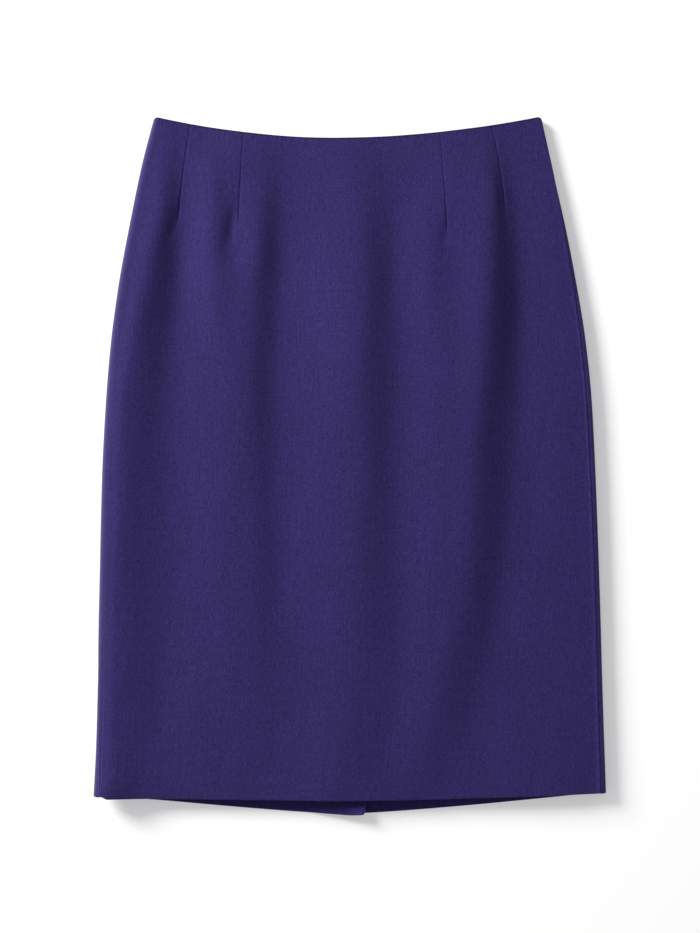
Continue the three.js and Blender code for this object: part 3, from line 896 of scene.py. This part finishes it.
def back_columns(side, level, down_of):
    """Columns of a back panel from its roll to the centre back, and the darts' valleys in them."""
    outer = outline("left" if side < 0 else "right", level) - side * outline("roll", level)
    centre_down = down_of(centre_back(level), SHARES)
    anchor = overlap_edge(centre_down)
    edge = underlap_edge(centre_down) if side < 0 else anchor
    shut = smooth((centre_down - SLIDER_DOWN - LIPS_SHUT_FROM) / LIPS_SHUT_RUN)
    gap = mix(LIPS_PARTED, SEAM_HALF_GAP, shut)
    marks, depths = [], []
    for top, tip, tip_down in reversed(BACK_DARTS):
        t = np.clip(level / tip_down, 0, 1)
        marks.append(centre_back(level) + side * mix(top, tip, t))
        depths.append(BACK_DART_DEPTH * smooth((tip_down - down_of(marks[-1], SHARES)) / BACK_DART_RUN))
    part_from, part_over, part_reach = BACK_COLUMNS_PART
    spread = mix(DART_REACH, part_reach, smooth((level - part_from) / part_over))
    stops = [outer, *marks, anchor + side * BESIDE_CENTRE]
    wide, valleys = columns_round(stops, BACK_BANDS, spread, depths)
    columns = list(wide.T) + [anchor + side * away for away in FROM_CENTRE]
    if side < 0:
        start = anchor - FROM_CENTRE[-1]
        columns += [mix(start, edge - gap, k / UNDERLAP_COLUMNS) for k in range(1, UNDERLAP_COLUMNS)]
    columns.append(edge + side * gap)
    return np.stack(columns, axis=1), valleys


print("close columns beside the centre back:", len(FROM_CENTRE))

# %% Back panels
BACK_ROLL_STEPS = 12
UV_APART = 600.0  # so that no two panels show the same stretch of cloth


def back_points(side):
    """Outside of a back panel: its roll, from the seam down to the surface, and the flat part."""
    level = SHARES * SKIRT_LENGTH
    share = SHARES[:, None]

    def down_of(x, at):
        return back_down(x, at, side)

    x, valleys = back_columns(side, level, down_of)
    down = down_of(x, share)
    z = zip_bulge(x, down) + soft_forms(BACK_DENTS, x, down)
    z[:, : valleys.shape[1]] += valleys
    if side < 0:
        z = z + underlap_lift(x, down)
    flat = np.stack([x, WAIST_Y - down, z], axis=-1)
    seam_name = "seam_left" if side < 0 else "seam_right"
    seam = outline(seam_name, level) - np.degrees(SEAM_HALF_GAP / outline("roll", level))
    steps = np.arange(BACK_ROLL_STEPS) / BACK_ROLL_STEPS
    rolled = roll_points(side, mix(seam[:, None], -90.0, steps), share, down_of, seam_name, -SEAM_STEPS[side])
    points = hem_curl(np.concatenate([rolled, flat], axis=1))
    return points[:, ::-1] if side < 0 else points


def back_panel(name, side):
    """One half of the back as a shell, double at the hem and the waist."""
    points = back_points(side)
    x, down = points[..., 0], WAIST_Y - points[..., 1]
    thickness = thickness_at(down, back_hem_down(x, side), waist_down(x, BACK_WAIST_DIP))
    return cloth_shell(name, points, thickness, flat_uv(points, side * UV_APART), darkened_waist(points))


back_left_cloth = back_panel("back_left_cloth", 1)
back_right_cloth = back_panel("back_right_cloth", -1)

# %% [markdown]
# ## The zip
#
# Two narrow tapes are sewn to the inside of the back seam, and the loops of their coils hook into each
# other along it. Each loop is an arch of thin wire across the seam, and the loops come from the left and
# the right by turns. An Array modifier could repeat one loop in a straight line, but the seam leans and the
# back swells over the slider, so all loops are worked out at once. Each has only fifty faces, because there
# are over two hundred.

# %% Zip tapes
SLIDER_HALF = 6.0
SLIDER_GAP = 0.3
ZIP_START = SLIDER_DOWN + SLIDER_HALF + SLIDER_GAP
ZIP_LENGTH = 180.0
ZIP_ROWS = 181
TAPE_THICK = 0.5
TAPE_CLEAR = 0.08  # between the tape and the inside of the back
# How far each column of a tape is from the centre back.
TAPE_COLUMNS = np.array([0.25, 0.5, 1.0, 2.0, 3.5, 5.5, 7.5, 9.5, 11.0, 12.2, 12.8, 13.0])


def zip_floor(x, down):
    """Height of the inside of the back, on which the tapes lie."""
    facing = smooth((BACK_WAIST_DIP + FACING - down) / TURN_RUN)
    return zip_bulge(x, down) + mix(CLOTH, TURNED, facing) + TAPE_CLEAR


def zip_tape(name, side):
    """A strip beside the seam: its columns keep their distance from the centre back."""
    rows = ZIP_START + np.linspace(0, ZIP_LENGTH, ZIP_ROWS)[:, None]
    x = centre_back(rows) + side * TAPE_COLUMNS[None, :]
    down = np.broadcast_to(rows, x.shape)
    points = np.stack([x, WAIST_Y - down, zip_floor(x, down) + TAPE_THICK], axis=-1)
    uv = np.stack([x, down], axis=-1) * MM
    if side < 0:
        points, uv = points[:, ::-1], uv[:, ::-1]
    return cloth_shell(name, points, np.full(x.shape, TAPE_THICK), uv)


tape_left = zip_tape("zip_tape_left", 1)
tape_right = zip_tape("zip_tape_right", -1)

# %% Zip coil
COIL_HALF = 1.9  # half the width of a loop
COIL_HEIGHT = 1.35
COIL_PITCH = 0.75
COIL_FROM = 0.8  # the first loop, below the tapes' start
COIL_SHORT = 3.0  # and how far the last stops above their end
LOOP_SHIFT = 0.35  # loops are set this far to the left and the right of the seam by turns
LOOP_LEAN = 0.25
LOOP_STEPS = 8
WIRE = 0.3  # radius
WIRE_SIDES = 6


def coil_points():
    """Arches of wire: each is a tube round a half ellipse that leans along the seam."""
    downs = np.arange(ZIP_START + COIL_FROM, ZIP_START + ZIP_LENGTH - COIL_SHORT, COIL_PITCH)
    sides = np.where(np.arange(len(downs)) % 2, 1.0, -1.0)[:, None, None]
    turn = np.linspace(0, np.pi, LOOP_STEPS + 1)[None, :, None]
    round_wire = (np.arange(WIRE_SIDES) * 2 * np.pi / WIRE_SIDES)[None, None, :]
    out = COIL_HALF * np.cos(turn)
    up = COIL_HEIGHT * np.sin(turn)
    across = sides * (out + WIRE * np.cos(round_wire) * np.cos(turn)) - sides * LOOP_SHIFT
    height = up + WIRE * np.cos(round_wire) * np.sin(turn) + WIRE
    down = downs[:, None, None] + LOOP_LEAN * np.cos(turn) + WIRE * np.sin(round_wire)
    across, height, down = np.broadcast_arrays(across, height, down)
    x = centre_back(down) + across
    return np.stack([x, WAIST_Y - down, zip_floor(centre_back(down), down) + TAPE_THICK + height], axis=-1)


def coil_faces(loops, steps, wire):
    """Quads round each tube, and caps at its ends. Every second loop is mirrored, so it is turned round."""
    number = np.arange(loops * steps * wire).reshape(loops, steps, wire)
    a, b = number[:, :-1], number[:, 1:]
    quads = np.stack([a, b, np.roll(b, -1, axis=2), np.roll(a, -1, axis=2)], axis=-1)
    quads[1::2] = quads[1::2, :, :, ::-1]
    caps = [list(ring) for ring in number[0::2, 0]] + [list(ring[::-1]) for ring in number[1::2, 0]]
    caps += [list(ring[::-1]) for ring in number[0::2, -1]] + [list(ring) for ring in number[1::2, -1]]
    return quads.reshape(-1, 4).tolist() + caps


def zip_coil():
    """All loops as one mesh."""
    points = coil_points()
    mesh = bpy.data.meshes.new("zip_coil")
    mesh.from_pydata((points.reshape(-1, 3) * MM).tolist(), [], coil_faces(*points.shape[:3]))
    mesh.polygons.foreach_set("use_smooth", np.ones(len(mesh.polygons), dtype=bool))
    print("zip_coil", points.shape[0], "loops")
    return add_object("zip_coil", mesh)


coil = zip_coil()

# %% [markdown]
# ## Shader nodes in few words
#
# A material in Blender is a net of nodes. Written out in full, each node takes four or five lines, and the
# formula gets lost among them. So a small helper makes a node, sets it and links it in one call, and the
# materials below read almost like sums.

# %% Nodes
class Nodes:
    """A short way to write shader nodes: n(type, inputs by name or number, settings) makes one node."""

    def __init__(self, name):
        self.material = bpy.data.materials.new(name)
        self.material.use_nodes = True
        self.tree = self.material.node_tree
        self.tree.nodes.clear()

    def __call__(self, kind, inputs=None, **settings):
        node = self.tree.nodes.new(kind)
        for key, value in settings.items():
            setattr(node, key, value)
        for key, value in (inputs or {}).items():
            socket = node.inputs[key]
            if isinstance(value, bpy.types.NodeSocket):
                self.tree.links.new(value, socket)
            else:
                socket.default_value = value
        return node

    def maths(self, operation, a, b=0.0, c=0.0):
        """One sum, product or sine."""
        return self("ShaderNodeMath", {0: a, 1: b, 2: c}, operation=operation).outputs[0]

    def blend(self, kind, factor, a, b):
        """Mix two colours."""
        node = self("ShaderNodeMix", {0: factor, 6: a, 7: b}, data_type="RGBA", blend_type=kind)
        return node.outputs[2]

    def carried(self, value, low, high, to_low, to_high):
        """Carry a value from one range to another."""
        return self("ShaderNodeMapRange", {0: value, 1: low, 2: high, 3: to_low, 4: to_high}).outputs[0]

    def grey(self, tone):
        """A colour with the same tone in its three channels."""
        return self("ShaderNodeCombineXYZ", {0: tone, 1: tone, 2: tone}).outputs[0]

    def attribute(self, name):
        """A value that the mesh holds for each point."""
        return self("ShaderNodeAttribute", attribute_name=name).outputs[2]

    def shade(self, inputs):
        """End the net with a Principled shader."""
        shader = self("ShaderNodeBsdfPrincipled", inputs)
        self("ShaderNodeOutputMaterial", {0: shader.outputs[0]})
        return self.material


print("node helper ready")

# %% [markdown]
# ## Suiting
#
# The suiting is a fine plain weave of mixed violet yarns. Warp and weft are two sets of threads on the flat
# cloth's own coordinates. Yarns differ a little in colour along their length, which gives the heathered
# streaks, and the fibres that stand up give a soft sheen, which along the rolled sides is also painted into
# the colour as a paler violet. A picture of cloth could be laid on, but it would repeat over half a metre.
# Noise that is stretched along the threads doesn't, and it stays sharp from close by.

# %% Streaks of the yarns
# Streaks: how many changes a metre there are across the threads and along them, and where the noise starts.
WARP = (960.0, 420.0, 3.0)
WEFT = (1100.0, 380.0, 11.0)
SLUBS = (600.0, 130.0, 21.0)
ENDS = (900.0, 22.0, 31.0)
PICKS = (900.0, 22.0, 41.0)
# How much of the tone comes from the yarns, thick places, and long threads down and across.
YARN_SHARE = 0.58
SLUB_SHARE = 0.18
END_SHARE = 0.14
PICK_SHARE = 0.1


def streaks(n, across, along, scale_across, scale_along, start):
    """Noise that is short across the threads and long along them."""
    place = n("ShaderNodeCombineXYZ", {0: n.maths("MULTIPLY", across, scale_across)})
    n.tree.links.new(n.maths("MULTIPLY", along, scale_along), place.inputs[1])
    place.inputs[2].default_value = start
    settings = {"Vector": place.outputs[0], "Scale": 1.0, "Detail": 2.0, "Roughness": 0.6}
    return n("ShaderNodeTexNoise", settings).outputs[0]


def heathered(n, u, v, weft):
    """Yarn by yarn, the cloth's tone: warp and weft in equal parts, thick places, and single long threads."""
    warp = streaks(n, u, v, *WARP)
    slubs = streaks(n, u, v, *SLUBS)
    ends = streaks(n, u, v, *ENDS)
    picks = streaks(n, v, u, *PICKS)
    yarns = n.maths("ADD", n.maths("MULTIPLY", warp, 0.5), n.maths("MULTIPLY", weft, 0.5))
    thick = n.maths("MULTIPLY", slubs, SLUB_SHARE)
    heather = n.maths("ADD", n.maths("MULTIPLY", yarns, YARN_SHARE), thick)
    lines = n.maths("ADD", n.maths("MULTIPLY", ends, END_SHARE), n.maths("MULTIPLY", picks, PICK_SHARE))
    return n.maths("ADD", heather, lines)


print("shares of the tone:", YARN_SHARE, SLUB_SHARE, END_SHARE, PICK_SHARE)

# %% Colour of the suiting
RED_VIOLET = (0.0216, 0.0116, 0.0725, 1.0)
BLUE_VIOLET = (0.0170, 0.0133, 0.0765, 1.0)
# The pale violet that paints a sheen along the rolled sides, and the most of it that is mixed in.
PAINTED_SHEEN_VIOLET = (0.050, 0.038, 0.110, 1.0)
PAINTED_SHEEN_MOST = 0.85
# How much darker the colour is drawn along the waist's edge.
DARKENED_BY = 0.5
CLOUD = (14.0, 9.0, 5.0)  # wide soft patches, in the same measures as the streaks
# Noise stays in the middle of its range, which is carried to these tones.
YARN_NOISE = (0.35, 0.65)
YARN_TONES = (0.34, 1.66)
CLOUD_NOISE = (0.3, 0.7)
CLOUD_TONES = (0.96, 1.04)


def suiting_colour(n, u, v, weft, heather):
    """Two violets, toned by the streaks, darker along the waist's edge, and paler at the rolled sides, where
    a sheen is painted in.
    """
    tone = n.carried(heather, *YARN_NOISE, *YARN_TONES)
    clouds = n.carried(streaks(n, u, v, *CLOUD), *CLOUD_NOISE, *CLOUD_TONES)
    tone = n.maths("MULTIPLY", tone, clouds)
    # Darker along the waist's edge.
    darker = n.maths("MULTIPLY", n.attribute("darkened"), DARKENED_BY)
    tone = n.maths("MULTIPLY", tone, n.maths("SUBTRACT", 1.0, darker))
    hue = n.carried(weft, *YARN_NOISE, 0.0, 1.0)
    colour = n.blend("MULTIPLY", 1.0, n.blend("MIX", hue, RED_VIOLET, BLUE_VIOLET), n.grey(tone))
    # Painted sheen: the colour turns paler along the rolled sides, the more the cloth there faces away from
    # the camera.
    away = n("ShaderNodeLayerWeight", {"Blend": 0.5}).outputs["Facing"]
    painted_sheen = n.maths("MINIMUM", n.maths("MULTIPLY", n.attribute("painted_sheen"), away), PAINTED_SHEEN_MOST)
    return n.blend("MIX", painted_sheen, colour, PAINTED_SHEEN_VIOLET)


print("tones of the yarns:", YARN_TONES)

# %% Weave
WEAVE_REPEAT = 0.00045  # metres, after which the weave repeats, two threads on
WEAVE_HEIGHT = 0.25  # in the bump, beside the yarns' own
YARN_HEIGHT = 1.6
BUMP_DEPTH = 0.00012


def woven_bump(n, u, v, heather):
    """The weave's height: a product of two sines, each two threads long, and the yarns' unevenness."""
    wave_u = n.maths("SINE", n.maths("MULTIPLY", u, 2 * np.pi / WEAVE_REPEAT))
    wave_v = n.maths("SINE", n.maths("MULTIPLY", v, 2 * np.pi / WEAVE_REPEAT))
    weave = n.maths("MULTIPLY", wave_u, wave_v)
    rough = n.maths("MULTIPLY", heather, YARN_HEIGHT)
    height = n.maths("ADD", n.maths("MULTIPLY", weave, WEAVE_HEIGHT), rough)
    return n("ShaderNodeBump", {"Height": height, "Strength": 0.6, "Distance": BUMP_DEPTH}).outputs[0]


print("threads in a centimetre:", round(0.02 / WEAVE_REPEAT, 1))

# %% Suiting
SHEEN_TINT = (0.8, 0.58, 1.0, 1.0)


def suiting(name):
    """Wool suiting: streaky yarns in colour, a painted sheen at the sides, a woven bump, and a sheen."""
    n = Nodes(name)
    uv = n("ShaderNodeUVMap", uv_map="cloth").outputs[0]
    flat = n("ShaderNodeSeparateXYZ", {0: uv})
    u, v = flat.outputs[0], flat.outputs[1]
    weft = streaks(n, v, u, *WEFT)
    heather = heathered(n, u, v, weft)
    return n.shade(
        {
            "Base Color": suiting_colour(n, u, v, weft, heather),
            "Roughness": 0.86,
            "Specular IOR Level": 0.1,
            "Sheen Weight": 0.2,
            "Sheen Roughness": 0.4,
            "Sheen Tint": SHEEN_TINT,
            "Normal": woven_bump(n, u, v, heather),
        }
    )


wool_suiting = suiting("wool_suiting")
for piece in (front_cloth, back_left_cloth, back_right_cloth):
    piece.data.materials.append(wool_suiting)
print("suiting on the three panels")

# %% [markdown]
# ## Enamel and tape
#
# The slider and its pull are die-cast and dipped in violet enamel, whose surface is never quite even. The
# tapes are polyester, woven in fine ribs, and so smooth that they shine a little beside the wool. One plain
# colour would do from afar, but a faint bump breaks up the highlight as the real finishes do.

# %% Enamel
ENAMEL_VIOLET = (0.045, 0.032, 0.14, 1.0)
ENAMEL_TONES = (0.9, 1.1)


def enamel(name):
    """Violet enamel on a die-cast zip part, with a faint orange peel."""
    n = Nodes(name)
    place = n("ShaderNodeTexCoord").outputs["Object"]
    noise = n("ShaderNodeTexNoise", {"Vector": place, "Scale": 900.0, "Detail": 2.0}).outputs[0]
    bump = n("ShaderNodeBump", {"Height": noise, "Strength": 0.15, "Distance": 0.00005}).outputs[0]
    tones = n.grey(n.carried(noise, 0.0, 1.0, *ENAMEL_TONES))
    colour = n.blend("MULTIPLY", 1.0, ENAMEL_VIOLET, tones)
    return n.shade(
        {"Base Color": colour, "Roughness": 0.35, "Metallic": 0.2, "Normal": bump, "Coat Weight": 0.3}
    )


zip_enamel = enamel("zip_enamel")
for node in ("zip_slider", "zip_pull"):
    bpy.data.objects[node].data.materials.clear()
    bpy.data.objects[node].data.materials.append(zip_enamel)
print("enamel on the slider and its pull")

# %% Woven tape
TAPE_VIOLET = (0.026, 0.019, 0.085, 1.0)
TAPE_PAINTED_SHADE = (0.85, 1.15)
RIB = 0.0007  # metres from rib to rib
CORD = 0.0011  # and from cord to cord


def woven_tape(name):
    """The zip's polyester tape: the product of two sines, one along the ribs and one across them, for the
    bump and for painted shade in the colour.
    """
    n = Nodes(name)
    place = n("ShaderNodeSeparateXYZ", {0: n("ShaderNodeTexCoord").outputs["Object"]})
    ribs = n.maths("SINE", n.maths("MULTIPLY", place.outputs[1], 2 * np.pi / RIB))
    cords = n.maths("SINE", n.maths("MULTIPLY", place.outputs[0], 2 * np.pi / CORD))
    height = n.maths("MULTIPLY", ribs, cords)
    bump = n("ShaderNodeBump", {"Height": height, "Strength": 0.5, "Distance": 0.0001}).outputs[0]
    # Painted shade and light: the colour is darker in the hollows of the weave and lighter on its ribs.
    tones = n.grey(n.carried(height, -1.0, 1.0, *TAPE_PAINTED_SHADE))
    colour = n.blend("MULTIPLY", 1.0, TAPE_VIOLET, tones)
    return n.shade({"Base Color": colour, "Roughness": 0.6, "Normal": bump})


zip_weave = woven_tape("zip_tape")
for piece in (tape_left, tape_right, coil):
    piece.data.materials.append(zip_weave)
print("woven tape on the tapes and the coil")

# %% [markdown]
# ## Riding on the CAD
#
# The CAD knows two bodies: the skirt, and the zip's pull, which turns on its slider. The cloth keeps its
# shape when the pull moves, so each cloth piece rides on the skirt's body and replaces the plain solid that
# stands for it. The slider and the pull are hard and small, and the CAD's own solids already have their
# true shape, so they stay.

# %% Pieces and bodies
for piece, node, slot in (
    (front_cloth, "front_panel", "wool_suiting"),
    (back_left_cloth, "back_panel_left", "wool_suiting"),
    (back_right_cloth, "back_panel_right", "wool_suiting"),
    (tape_left, "zip_chain", "zip_tape"),
    (tape_right, "zip_chain", "zip_tape"),
    (coil, "zip_chain", "zip_tape"),
):
    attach(piece, "skirt")
    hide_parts(node)

print("cloth pieces ride on the skirt")

# %% [markdown]
# ## Floor, light and camera
#
# The skirt lies on a white surface in a studio. A large soft key light comes from the upper left of the
# picture, low enough to rake across the folds, and a pale sky fills the shadows. An HDR picture could light
# the scene, but one lamp and a plain sky say more clearly where each shadow comes from. The floor glows
# faintly, so that it is white all round while the cloth keeps its tone. The camera looks straight down.

# %% Floor
FLOOR_HALF = 6  # metres
FLOOR_TONES = (0.590, 0.600)  # between these, in wide soft clouds
FLOOR_GLOW = 0.275
WHITE = (1.0, 1.0, 1.0, 1.0)


def pale_floor(name):
    """A matt, nearly even grey with a faint glow of its own."""
    n = Nodes(name)
    noise = n("ShaderNodeTexNoise", {"Scale": 3.0}).outputs[0]
    matt = n("ShaderNodeBsdfDiffuse", {0: n.grey(n.carried(noise, 0.0, 1.0, *FLOOR_TONES))}).outputs[0]
    glow = n("ShaderNodeEmission", {0: WHITE, 1: FLOOR_GLOW}).outputs[0]
    n("ShaderNodeOutputMaterial", {0: n("ShaderNodeAddShader", {0: matt, 1: glow}).outputs[0]})
    return n.material


corners = [(x * FLOOR_HALF, y * FLOOR_HALF, 0) for x, y in ((-1, -1), (1, -1), (1, 1), (-1, 1))]
floor_mesh = bpy.data.meshes.new("floor")
floor_mesh.from_pydata(corners, [], [(0, 1, 2, 3)])
floor_mesh.materials.append(pale_floor("pale_floor"))
floor = add_object("floor", floor_mesh)
print("floor", 2 * FLOOR_HALF, "metres wide")

# %% Light
KEY_AZIMUTH = 143.0
KEY_ELEVATION = 27.0
KEY_DISTANCE = 3.3
KEY_SIZE = 1.53
KEY_POWER = 231.0
KEY_COLOUR = (1.0, 0.99, 0.955)
SKY_COLOUR = (0.985, 0.995, 1.035, 1.0)
SKY = 0.55

key_data = bpy.data.lights.new("key", "AREA")
key_data.shape = "DISK"
key_data.size = KEY_SIZE
key_data.energy = KEY_POWER
key_data.color = KEY_COLOUR
key = add_object("key", key_data)
azimuth, elevation = np.radians(KEY_AZIMUTH), np.radians(KEY_ELEVATION)
key.location = KEY_DISTANCE * np.array(
    [np.cos(azimuth) * np.cos(elevation), np.sin(azimuth) * np.cos(elevation), np.sin(elevation)]
)
key.rotation_euler = (np.pi / 2 - elevation, 0, azimuth + np.pi / 2)

world = bpy.data.worlds.new("sky")
world.use_nodes = True
world.node_tree.nodes["Background"].inputs[0].default_value = SKY_COLOUR
world.node_tree.nodes["Background"].inputs[1].default_value = SKY
bpy.context.scene.world = world
bpy.context.scene.view_settings.view_transform = "Standard"
print("key light", KEY_DISTANCE, "metres away")

# %% Camera
CAMERA_AT = (-0.0004, -0.0005)
CAMERA_HEIGHT = 2.093
LENS = 85  # millimetres, like the sensor's width
SENSOR = 36

camera_data = bpy.data.cameras.new("camera")
camera_data.lens = LENS
camera_data.sensor_width = SENSOR
camera = add_object("camera", camera_data)
camera.location = (*CAMERA_AT, CAMERA_HEIGHT)
bpy.context.scene.camera = camera
print("camera", CAMERA_HEIGHT, "metres up")
